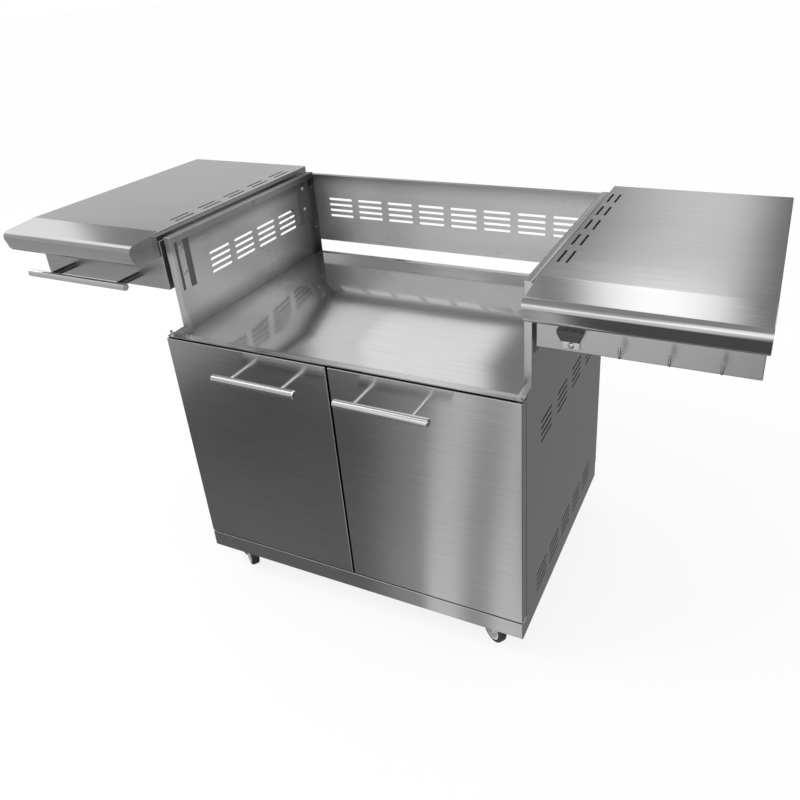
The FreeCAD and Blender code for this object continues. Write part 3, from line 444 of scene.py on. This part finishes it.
# rounds a sheet's bends and returns how many edges of the result are open
def foldSheet(name, radius):
    mesh = weldedMesh(name)
    flat = math.radians(fold["flat"])
    bmesh.ops.dissolve_limit(mesh, angle_limit=flat, verts=mesh.verts, edges=mesh.edges)
    bmesh.ops.bevel(mesh, geom=findBends(mesh), offset=radius, offset_type="OFFSET", segments=fold["steps"],
                    profile=0.5, affect="EDGES", clamp_overlap=False)
    bmesh.ops.dissolve_degenerate(mesh, dist=fold["sliver"], edges=mesh.edges)
    bmesh.ops.triangulate(mesh, faces=mesh.faces)
    opened = sum(len(edge.link_faces) != 2 for edge in mesh.edges)
    for face in mesh.faces:
        face.smooth = True
    for edge in mesh.edges:
        edge.smooth = edge.calc_face_angle(0.0) < math.radians(fold["sharp"])
    data = bpy.data.meshes.new(f"{name}_folded")
    mesh.to_mesh(data)
    mesh.free()
    piece = newPiece(f"{name}_folded", data, finishes[name])
    weighNormals(piece)
    applyModifiers(piece)
    standFor(piece, name)
    return opened


# Cap opener: the hood's underside slopes up towards its lip, and its edges are rounded as in a casting
opener = {"plate": 0.003, "near": 0.0001, "rise": 0.5, "width": 0.0007, "steps": 2, "angle": 35.0}


def castOpener(name):
    data = nodes[name].data.copy()
    low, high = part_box(name)
    for vert in data.vertices:
        reach = high[1] - vert.co.y - opener["plate"]
        height = vert.co.z - low[2] - openerFoot["height"]
        if reach > fold["touch"] and abs(height) < opener["near"]:
            vert.co.z += reach * opener["rise"]
    piece = newPiece(f"{name}_cast", data, finishes[name])
    data.shade_smooth()
    weld = piece.modifiers.new("weld", "WELD")
    weld.merge_threshold = fold["touch"]
    bevel = piece.modifiers.new("bevel", "BEVEL")
    bevel.limit_method = "ANGLE"
    bevel.angle_limit = math.radians(opener["angle"])
    bevel.width = opener["width"]
    bevel.segments = opener["steps"]
    bevel.use_clamp_overlap = True
    weighNormals(piece)
    applyModifiers(piece)
    standFor(piece, name)


castOpener("cap_opener")
foldedSheets = {
    "base_pan": "radius", "rear_lower_panel": "radius", "bay_tray": "radius",
    "rear_upper_panel": "notchedRadius", "front_rail": "notchedRadius",
}
for side in sides:
    for sheet in ("side_panel", "door_skin", "shelf_top", "shelf_fascia"):
        foldedSheets[f"{side}_{sheet}"] = "radius"
opened = sum(foldSheet(name, fold[kind]) for name, kind in foldedSheets.items())
print("folded sheets:", len(foldedSheets), "open edges:", opened)


# Repeated small parts are grown by node trees: points say where, an arrow on each point says which way
def newTree(name, labels):
    tree = bpy.data.node_groups.new(name, "GeometryNodeTree")
    graph = Graph(tree)
    tree.interface.new_socket("Points", in_out="INPUT", socket_type="NodeSocketGeometry")
    for label in labels:
        tree.interface.new_socket(label, in_out="INPUT", socket_type="NodeSocketFloat")
    tree.interface.new_socket("Finish", in_out="INPUT", socket_type="NodeSocketMaterial")
    tree.interface.new_socket("Mesh", in_out="OUTPUT", socket_type="NodeSocketGeometry")
    source = tree.nodes.new("NodeGroupInput")
    return tree, graph, {socket.name: Wire(graph, socket) for socket in source.outputs if socket.name}


def vector(graph, x, y, z):
    return graph.node("ShaderNodeCombineXYZ", {}, {"X": x, "Y": y, "Z": z})


def block(graph, x, y, z):
    return graph.node("GeometryNodeMeshCube", {}, {"Size": vector(graph, x, y, z)})


def raised(graph, shape, height):
    sockets = {"Geometry": shape, "Translation": vector(graph, 0.0, 0.0, height)}
    return graph.node("GeometryNodeTransform", {}, sockets)


# sets one copy on each point, turned so that its z runs along the point's arrow
def plantCopies(graph, ports, shape):
    arrow = graph.node("GeometryNodeInputNamedAttribute", {"data_type": "FLOAT_VECTOR"},
                       {"Name": "facing"}, "Attribute")
    turn = graph.node("FunctionNodeAlignRotationToVector", {"axis": "Z"}, {"Vector": arrow})
    copies = graph.node("GeometryNodeInstanceOnPoints", {},
                        {"Points": ports["Points"], "Instance": shape, "Rotation": turn})
    plain = graph.node("GeometryNodeRealizeInstances", {}, {"Geometry": copies})
    finished = graph.node("GeometryNodeSetMaterial", {}, {"Geometry": plain, "Material": ports["Finish"]})
    graph.node("NodeGroupOutput", {}, {"Mesh": finished})


def growPiece(name, tree, points, arrows, values, material):
    data = bpy.data.meshes.new(name)
    data.from_pydata(points, [], [])
    facing = data.attributes.new("facing", "FLOAT_VECTOR", "POINT")
    for item, arrow in zip(facing.data, arrows):
        item.vector = arrow
    piece = newPiece(name, data, material)
    grow = piece.modifiers.new("grow", "NODES")
    grow.node_group = tree
    for socket in tree.interface.items_tree:
        if socket.in_out == "INPUT" and socket.name in values:
            grow[socket.identifier] = values[socket.name]
        elif socket.name == "Finish":
            grow[socket.identifier] = material
    applyModifiers(piece)
    piece.data.shade_smooth()
    piece.data.set_sharp_from_angle(angle=math.radians(fold["sharp"]))
    return piece


# Pan-head screws with a washer face and a cross recess; the recess is in shares of the head
screw = {
    "segments": 32, "rings": 16, "shankSides": 20, "washer": 1.3, "wide": 0.8,
    "recessLength": 1.15, "recessWidth": 0.26, "recessDepth": 0.55,
}


def makeScrewTree():
    labels = ["Head Radius", "Head Height", "Shank Radius", "Shank Length"]
    tree, graph, ports = newTree("panHeadScrew", labels)
    radius, height = ports["Head Radius"], ports["Head Height"]
    ball = graph.node("GeometryNodeMeshUVSphere", {},
                      {"Segments": screw["segments"], "Rings": screw["rings"], "Radius": radius})
    flatter = vector(graph, 1.0, 1.0, height / radius)
    dome = graph.node("GeometryNodeTransform", {}, {"Geometry": ball, "Scale": flatter})
    # the lower half of the ball goes, and two crossed bars sink into its top
    cutters = [raised(graph, block(graph, radius * 3, radius * 3, height * 2), height * -1)]
    length, width = radius * screw["recessLength"], radius * screw["recessWidth"]
    for sizeX, sizeY in ((length, width), (width, length)):
        bar = block(graph, sizeX, sizeY, height * screw["recessDepth"] * 2)
        cutters.append(raised(graph, bar, height))
    head = graph.node("GeometryNodeMeshBoolean", {"operation": "DIFFERENCE", "solver": "EXACT"},
                      {"Mesh 1": dome, "Mesh 2": cutters})
    reach = ports["Shank Length"]
    rod = graph.node("GeometryNodeMeshCylinder", {},
                     {"Vertices": screw["shankSides"], "Radius": ports["Shank Radius"], "Depth": reach})
    shank = raised(graph, rod, reach * -0.5)
    plantCopies(graph, ports, graph.node("GeometryNodeJoinGeometry", {}, {"Geometry": [head, shank]}))
    return tree


def islands(mesh):
    # the separate bodies of a mesh, each as its list of places
    groups, seen = [], set()
    for seed in mesh.verts:
        if seed in seen:
            continue
        seen.add(seed)
        group, waiting = [], [seed]
        while waiting:
            vert = waiting.pop()
            group.append(vert.co.copy())
            for edge in vert.link_edges:
                other = edge.other_vert(vert)
                if other not in seen:
                    seen.add(other)
                    waiting.append(other)
        groups.append(group)
    return groups


def looseParts(name):
    mesh = weldedMesh(name)
    parts = islands(mesh)
    mesh.free()
    return parts


def boxAround(places):
    low = Vector([min(place[axis] for place in places) for axis in range(3)])
    high = Vector([max(place[axis] for place in places) for axis in range(3)])
    return low, high


def inMillimetres(sizes):
    return {label: round(size * 1000, 2) for label, size in sizes.items()}


# reads a screw's seat, way and sizes from the places on it: the head is its wide end
def readScrew(places):
    low, high = boxAround(places)
    size = high - low
    # its axis is the one across which it is round
    axis = min(range(3), key=lambda number: abs(size[number - 1] - size[number - 2]))
    middle = (low + high) / 2
    arms = []
    for place in places:
        arm = place - middle
        arm[axis] = 0
        arms.append(arm.length)
    wide = [place[axis] for place, arm in zip(places, arms) if arm > screw["wide"] * max(arms)]
    sign = 1 if sum(wide) / len(wide) > middle[axis] else -1
    seat = min(wide) if sign > 0 else max(wide)
    tip, top = (low[axis], high[axis]) if sign > 0 else (high[axis], low[axis])
    below = [arm for place, arm in zip(places, arms) if (place[axis] - seat) * sign < -fold["touch"]]
    point, arrow = middle.copy(), Vector((0, 0, 0))
    point[axis] = seat
    arrow[axis] = sign
    sizes = {
        "Head Radius": max(arms) * screw["washer"], "Head Height": abs(top - seat),
        "Shank Radius": max(below), "Shank Length": abs(seat - tip),
    }
    return point, arrow, sizes


screwTree = makeScrewTree()
for name in ("left_shelf_screws", "right_shelf_screws", "rear_panel_screws", "opener_screw"):
    screws = [readScrew(places) for places in looseParts(name)]
    points, arrows, sizes = zip(*screws)
    standFor(growPiece(f"{name}_cross", screwTree, points, arrows, sizes[0], finishes[name]), name)
    print(name + ":", len(screws), inMillimetres(sizes[0]))


# Vents of the shelves and of the cupboard: a black sleeve is set into each slot as painted shade, so that
# the slot reads dark
shadeSleeve = {
    "wall": 0.0005, "depth": 0.008, "below": 0.0001, "sheet": 0.002, "upright": 0.5,
    "roundSteps": 6, "roundShare": 0.49,
}


def makeShadeSleeveTree():
    tree, graph, ports = newTree("ventShadeSleeve", ["Slot Width", "Slot Length", "Wall", "Depth"])
    wall, depth = ports["Wall"], ports["Depth"]
    width, length = ports["Slot Width"] - wall, ports["Slot Length"] - wall
    rectangle = "GeometryNodeCurvePrimitiveQuadrilateral"
    ring = graph.node(rectangle, {}, {"Width": width, "Height": length})
    path = graph.node("GeometryNodeFilletCurve", {"mode": "POLY"},
                      {"Curve": ring, "Count": shadeSleeve["roundSteps"], "Radius": width * shadeSleeve["roundShare"]})
    upright = graph.node("GeometryNodeSetCurveNormal", {"mode": "Z_UP"}, {"Curve": path})
    section = graph.node(rectangle, {}, {"Width": wall, "Height": depth})
    sleeve = graph.node("GeometryNodeCurveToMesh", {}, {"Curve": upright, "Profile Curve": section})
    plantCopies(graph, ports, raised(graph, sleeve, depth * -0.5))
    return tree


def mainAxis(arrow):
    return max(range(3), key=lambda number: abs(arrow[number]))


def slotBoxes(name, arrow):
    # the walls of each slot cut through the face that looks along the arrow, as low and high corners
    axis = mainAxis(arrow)
    sign = arrow[axis]
    face = max(corner[axis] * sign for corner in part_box(name))
    mesh = weldedMesh(name)
    rest = []
    for side in mesh.faces:
        depth = face - min(vert.co[axis] * sign for vert in side.verts)
        if abs(side.normal[axis]) > shadeSleeve["upright"] or depth > shadeSleeve["sheet"]:
            rest.append(side)
    bmesh.ops.delete(mesh, geom=rest, context="FACES")
    boxes = [boxAround(places) for places in islands(mesh)]
    mesh.free()
    return boxes


def shadeSlots(name, arrow, boxes):
    # a slot runs along y; its width lies along the axis that is left over
    axis = mainAxis(arrow)
    across = 2 - axis
    sign = arrow[axis]
    points = []
    for low, high in boxes:
        point = (low + high) / 2
        point[axis] = (max(low[axis] * sign, high[axis] * sign) - shadeSleeve["below"]) * sign
        points.append(point)
    low, high = boxes[0]
    sizes = {
        "Slot Width": high[across] - low[across], "Slot Length": high.y - low.y,
        "Wall": shadeSleeve["wall"], "Depth": shadeSleeve["depth"],
    }
    arrows = [arrow] * len(points)
    piece = growPiece(f"{name}_vent_shade_sleeves", shadeSleeveTree, points, arrows, sizes, blackPlastic)
    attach(piece, bodyOf[name])
    print(name, "vent liners:", len(points), inMillimetres(sizes))


shadeSleeveTree = makeShadeSleeveTree()
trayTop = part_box("bay_tray")[1][2]
# the shelf vents and the side panels' vents below the tray get the black sleeves, which stand in for the
# shade inside them
for side, outward in zip(sides, (-1, 1)):
    shelf, panel = f"{side}_shelf_top", f"{side}_side_panel"
    shadeSlots(shelf, (0, 0, 1), slotBoxes(shelf, (0, 0, 1)))
    vents = [box for box in slotBoxes(panel, (outward, 0, 0)) if box[1].z < trayTop]
    shadeSlots(panel, (outward, 0, 0), vents)


# Floor: pale to the eye, with the object's shadow; polished metal sees a dimmer studio floor
studio = {"floorSize": 60.0, "floorColour": grey(0.9), "ownLight": 0.85, "ambient": 1.0}
floorLight = {
    "near": 0.16, "far": 0.09, "left": 0.33, "end": 0.9, "behind": 0.21,
    "underShelf": 0.1, "besideCart": 0.88, "besideLoss": 0.68,
}
# soft edges on the floor: the first is a share of the fan's reach, the others are places in metres
floorEdges = {
    "near": (0.1, 0.6), "left": (-1.35, -1.1), "behind": (-0.3, -0.2), "end": (-1.75, -1.5),
    "endLeft": (-1.4, -0.8), "beside": (0.405, 0.43), "besideFar": (-1.7, -0.9),
    "lossRight": (0.6, 0.72), "lossFar": (-1.55, -1.25),
}
# strips of light fan out from a point behind the cart, and their edges are places along the doors
fan = {"centre": (0.7842, 0.80737), "lean": 0.07}
floorStrips = [(0.0, 0.16, 0.20), (0.16, 0.20, 0.40), (0.235, 0.29, -0.32), (0.305, 0.36, 0.33)]


# what metal sees of the floor; each strip adds its light to the one before
def floorGlow(graph):
    x, y = axes(graph, graph.node("ShaderNodeTexCoord", {}, {}, "Object"))[:2]
    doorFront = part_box("left_door_skin")[0][1]
    centreX, centreY = fan["centre"]
    reach = centreY - doorFront
    depth = (doorFront - y) / reach
    place = centreX + (x - centreX) * reach / (centreY - y)
    leaned = place - depth * fan["lean"]
    front = fade(floorLight["near"], floorLight["far"], depth.above(*floorEdges["near"]))
    front = front + floorLight["left"] * (1 - x.above(*floorEdges["left"]))
    for start, end, light in floorStrips:
        front = front + leaned.above(start, end) * light
    beside = place.above(*floorEdges["beside"])
    besideFar = 1 - y.above(*floorEdges["besideFar"])
    besideLoss = leaned.above(*floorEdges["lossRight"]) * (1 - y.above(*floorEdges["lossFar"]))
    sideFloor = fade(floorLight["underShelf"], floorLight["besideCart"], besideFar)
    front = fade(front, sideFloor - besideLoss * floorLight["besideLoss"], beside)
    end = (1 - y.above(*floorEdges["end"])) * x.above(*floorEdges["endLeft"]) * (1 - beside)
    front = fade(front, floorLight["end"], end)
    return fade(front, floorLight["behind"], y.above(*floorEdges["behind"]))


def lightPath(graph):
    path = graph.node("ShaderNodeLightPath").socket.node
    return [Wire(graph, path.outputs[name]) for name in ("Is Camera Ray", "Is Glossy Ray")]


def makeFloor():
    half = studio["floorSize"] / 2
    outline = [(-half, -half, 0), (half, -half, 0), (half, half, 0), (-half, half, 0)]
    data = bpy.data.meshes.new("floor")
    data.from_pydata(outline, [], [(0, 1, 2, 3)])
    floor = bpy.data.objects.new("floor", data)
    scene.collection.objects.link(floor)
    material, graph = newMaterial("paleFloor")
    data.materials.append(material)
    isCamera, isGlossy = lightPath(graph)
    seenInMetal = graph.node("ShaderNodeEmission", {}, {"Color": floorGlow(graph), "Strength": 1.0})
    matt = graph.node("ShaderNodeBsdfDiffuse", {}, {"Color": (*studio["floorColour"], 1)})
    lit = graph.node("ShaderNodeEmission", {}, {"Strength": 1.0})
    seen = graph.node("ShaderNodeMixShader", {}, {0: isCamera * studio["ownLight"], 1: matt, 2: lit})
    surface = graph.node("ShaderNodeMixShader", {}, {0: isGlossy, 1: seen, 2: seenInMetal})
    graph.node("ShaderNodeOutputMaterial", {}, {"Surface": surface})


# Soft studio round the cart: how bright its walls and screens are
walls = {
    "low": 0.66, "lowDark": 0.18, "lowLight": 0.62, "middle": 0.22, "middleLeft": 0.2, "middleRight": 0.18,
    "high": 0.22, "rightFoot": 0.1, "right": 0.4, "rightHigh": 1.1, "left": 0.5,
    "front": 1.4, "frontStrip": 0.8, "frontRight": 1.3, "above": 0.35, "overhead": 0.9,
}
# soft edges round the cart, in degrees from straight behind it, to the right
turns = {
    "lowDark": (-30, -20), "lowLightRise": (-17.5, -5.5), "lowLightFall": (-3.5, 0.8),
    "middleLeft": (-34, -32), "middleRight": (-28, -25), "nearRight": (-17, -15), "far": (-46, -42),
    "right": (8, 20), "front": (95, 115), "frontWall": (148, 166), "frontHigh": (170, 176),
    "stripRise": (144, 150), "stripFall": (160, 166),
    "overheadRise": (-140, -130), "overheadFall": (-92, -84),
}
# soft edges up the walls, as the sine of the angle above the floor
heights = {
    "middle": (0.29, 0.34), "high": (0.375, 0.42), "right": (0.1, 0.25), "rightHigh": (0.42, 0.52),
    "frontWall": (0.25, 0.45), "frontHigh": (0.1, 0.3), "stripRise": (0.3, 0.36), "stripFall": (0.46, 0.52),
    "above": (0.68, 0.8), "overheadRise": (0.66, 0.72), "overheadFall": (0.87, 0.92),
}
rightHalf = (-0.02, 0.02)
wideScreen = {
    "rise": (-38.2, -35.8), "fall": (-23.2, -20.8), "light": 0.93, "edge": (-34.5, -33.5), "edgeLoss": 0.23,
    "gapRise": (-34.2, -33.4), "gapFall": (-33.2, -32.4), "gapLoss": 0.32,
}
narrowScreen = {
    "rise": (-18, -13), "fall": (-4.5, -0.8), "light": 1.3,
    "swell": (-14, -10), "ebb": (-8, -5), "more": 0.3,
}
farScreen = {"edge": (-55.0, -54.0), "light": 0.95, "dark": 0.28}


# a low wall, a darker band over it, then the screens; the far left has a screen that starts lower
def behindCart(azimuth, z):
    low = fade(walls["low"], walls["lowDark"], azimuth.above(*turns["lowDark"]))
    low = low + walls["lowLight"] * azimuth.within(turns["lowLightRise"], turns["lowLightFall"])
    middle = walls["middle"] + walls["middleLeft"] * (1 - azimuth.above(*turns["middleLeft"]))
    middle = middle + walls["middleRight"] * azimuth.above(*turns["middleRight"])
    middle = fade(middle, low, azimuth.above(*turns["nearRight"]))
    loss = wideScreen["edgeLoss"] * (1 - azimuth.above(*wideScreen["edge"]))
    loss = loss + wideScreen["gapLoss"] * azimuth.within(wideScreen["gapRise"], wideScreen["gapFall"])
    wide = azimuth.within(wideScreen["rise"], wideScreen["fall"]) * (wideScreen["light"] - loss)
    peak = azimuth.within(narrowScreen["swell"], narrowScreen["ebb"])
    narrow = azimuth.within(narrowScreen["rise"], narrowScreen["fall"])
    narrow = narrow * (narrowScreen["light"] + peak * narrowScreen["more"])
    high = walls["high"] + wide + narrow
    farHigh = farScreen["dark"] + farScreen["light"] * (1 - azimuth.above(*farScreen["edge"]))
    isFar = 1 - azimuth.above(*turns["far"])
    middle = fade(middle, farHigh, isFar)
    high = fade(high, farHigh, isFar)
    return fade(fade(low, middle, z.above(*heights["middle"])), high, z.above(*heights["high"]))


# the wall beside the cart on its right, brighter higher up
def besideCart(z):
    light = walls["rightFoot"] + walls["right"] * z.above(*heights["right"])
    return light + walls["rightHigh"] * z.above(*heights["rightHigh"])


# the walls in front of the cart: a bright wall and a strip at the left, an even one at the right
def beforeCart(x, turned, z):
    wall = turned.above(*turns["frontWall"]) * (1 - z.above(*heights["frontWall"]))
    high = turned.above(*turns["frontHigh"]) * z.above(*heights["frontHigh"])
    strip = turned.within(turns["stripRise"], turns["stripFall"])
    strip = strip * z.within(heights["stripRise"], heights["stripFall"])
    light = walls["left"] + (walls["front"] - walls["left"]) * wall
    light = light + (walls["frontRight"] - walls["left"]) * high + walls["frontStrip"] * strip
    return fade(light, walls["frontRight"], x.above(*rightHalf))


def makeWorld():
    world = bpy.data.worlds.new("studio")
    scene.world = world
    world.use_nodes = True
    graph = Graph(world.node_tree)
    isCamera, isGlossy = lightPath(graph)
    x, y, z = axes(graph, graph.node("ShaderNodeTexCoord", {}, {}, "Generated"))
    azimuth = x.math("ARCTAN2", x, y) * (180 / math.pi)
    turned = x.math("ABSOLUTE", azimuth)
    wall = fade(behindCart(azimuth, z), besideCart(z), azimuth.above(*turns["right"]))
    wall = fade(wall, beforeCart(x, turned, z), turned.above(*turns["front"]))
    sky = fade(wall, walls["above"], z.above(*heights["above"]))
    overhead = azimuth.within(turns["overheadRise"], turns["overheadFall"])
    overhead = overhead * z.within(heights["overheadRise"], heights["overheadFall"])
    sky = sky + walls["overhead"] * overhead
    # white to the eye, the studio in polished metal, even light on everything else
    strength = fade(fade(studio["ambient"], sky, isGlossy), 1.0, isCamera)
    light = graph.node("ShaderNodeBackground", {}, {"Color": (1, 1, 1, 1), "Strength": strength})
    graph.node("ShaderNodeOutputWorld", {}, {"Surface": light})


keyLamp = {"place": (-2.2, -1.6, 3.2), "aim": (0, 0, 0.5), "size": 1.8, "power": 60}


def makeLamp(name, look):
    data = bpy.data.lights.new(name, "AREA")
    data.shape = "DISK"
    data.size = look["size"]
    data.energy = look["power"]
    lamp = bpy.data.objects.new(name, data)
    lamp.location = look["place"]
    heading = Vector(look["aim"]) - Vector(look["place"])
    lamp.rotation_euler = heading.to_track_quat("-Z", "Y").to_euler()
    lamp.visible_glossy = False
    scene.collection.objects.link(lamp)


makeFloor()
makeWorld()
makeLamp("keyLamp", keyLamp)
print("studio: floor, world and lamp")


# Camera: the photograph's viewpoint, found from the cart's straight edges
lens = {
    "place": (0.7842, -1.36337, 1.37172), "right": (0.90858184, 0.4143062, -0.05319228),
    "up": (-0.14718271, 0.43671679, 0.88747715), "back": (0.39091725, -0.79851664, 0.45777165),
    "length": 34.04, "sensor": 36.0, "shift": (-0.0486, -0.0675), "reach": 200.0,
}
cameraData = bpy.data.cameras.new("camera")
cameraData.lens = lens["length"]
cameraData.sensor_width = lens["sensor"]
cameraData.shift_x, cameraData.shift_y = lens["shift"]
cameraData.clip_end = lens["reach"]
camera = bpy.data.objects.new("camera", cameraData)
turn = Matrix((lens["right"], lens["up"], lens["back"])).transposed()
camera.matrix_world = Matrix.Translation(lens["place"]) @ turn.to_4x4()
scene.collection.objects.link(camera)
scene.camera = camera
print("camera placed")
